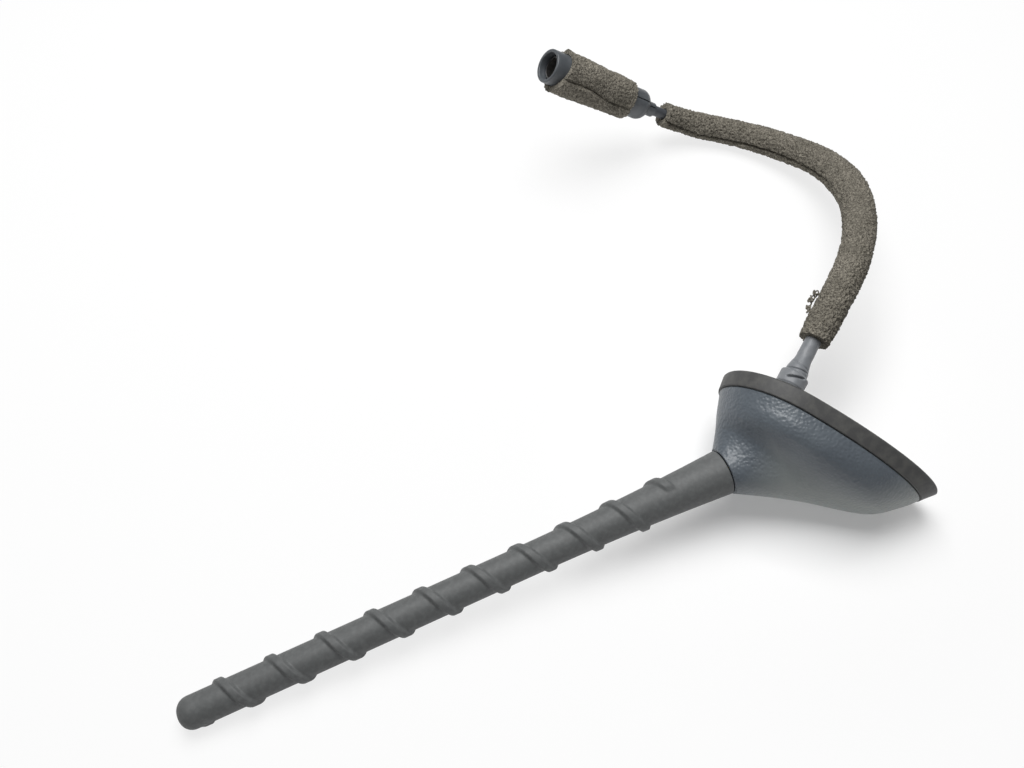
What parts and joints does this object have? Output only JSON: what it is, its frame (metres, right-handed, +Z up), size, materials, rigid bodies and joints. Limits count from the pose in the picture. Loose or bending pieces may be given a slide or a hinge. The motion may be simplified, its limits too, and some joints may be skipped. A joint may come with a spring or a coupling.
{
  "type": "car roof antenna",
  "caption": "Screw-in spiral-ribbed mast leaning back from a teardrop roof base with a gasket, and a foam-sleeved cable that ends in a round radio connector.",
  "frame": {"origin": "on the roof stud's axis, in the plane where the gasket seals on the roof", "axes": "+Z up from the roof, +X to the nose of the base, +Y to the left"},
  "size_m": [0.208, 0.1034, 0.3287],
  "materials": {
    "mast_rubber": "moulded satin rubber",
    "glass_fibre": "drawn rod",
    "copper": "enamelled wire",
    "brass": "turned",
    "seal_rubber": "moulded",
    "cover_plastic": "fine moulded grain",
    "gasket_rubber": "moulded matt rubber",
    "die_casting": "cast",
    "spring_bronze": "rolled strip",
    "circuit_board": "solder resist",
    "tinned_steel": "tinned sheet",
    "screw_steel": "zinc plated",
    "cable_jacket": "extruded",
    "shrink_tube": "shrunk tube",
    "foam": "open cell foam",
    "connector_plastic": "moulded",
    "insulator_plastic": "moulded",
    "plated_contact": "nickel plated"
  },
  "bodies": {
    "base": {"base_cover": "cover_plastic", "gasket": "gasket_rubber", "base_plate": "die_casting", "mast_socket": "brass", "contact_spring": "spring_bronze", "amplifier_board": "circuit_board", "shield_can": "tinned_steel", "board_screws": "screw_steel", "cover_screws": "screw_steel", "cable_ferrule": "brass", "centre_wire": "copper", "cable_boot": "shrink_tube", "coax_cable": "cable_jacket", "foam_sleeve": "foam", "connector_shell": "connector_plastic", "connector_half_upper": "connector_plastic", "connector_half_lower": "connector_plastic", "connector_insulator": "insulator_plastic", "connector_contact": "plated_contact", "connector_shield": "plated_contact", "connector_crimp": "brass", "connector_foam": "foam"},
    "mast_seal": {"mast_o_ring": "seal_rubber"},
    "mast": {"mast_sheath": "mast_rubber", "mast_rod": "glass_fibre", "mast_winding": "copper", "mast_ferrule": "brass"}
  },
  "joints": [
    {"name": "mast_rise", "type": "slide", "parent": "base", "child": "mast_seal", "axis": [-0.585, 0, 0.8111], "range_m": [0, 0.008]},
    {"name": "mast_turn", "type": "hinge", "parent": "mast_seal", "child": "mast", "pos_m": [-0.0064, 0, 0.0324], "axis": [-0.585, 0, 0.8111], "range_deg": [0, 3610]}
  ],
  "couplings": [
    {"joint": "mast_turn", "follows": "mast_rise", "rad_per_m": 7854}
  ]
}
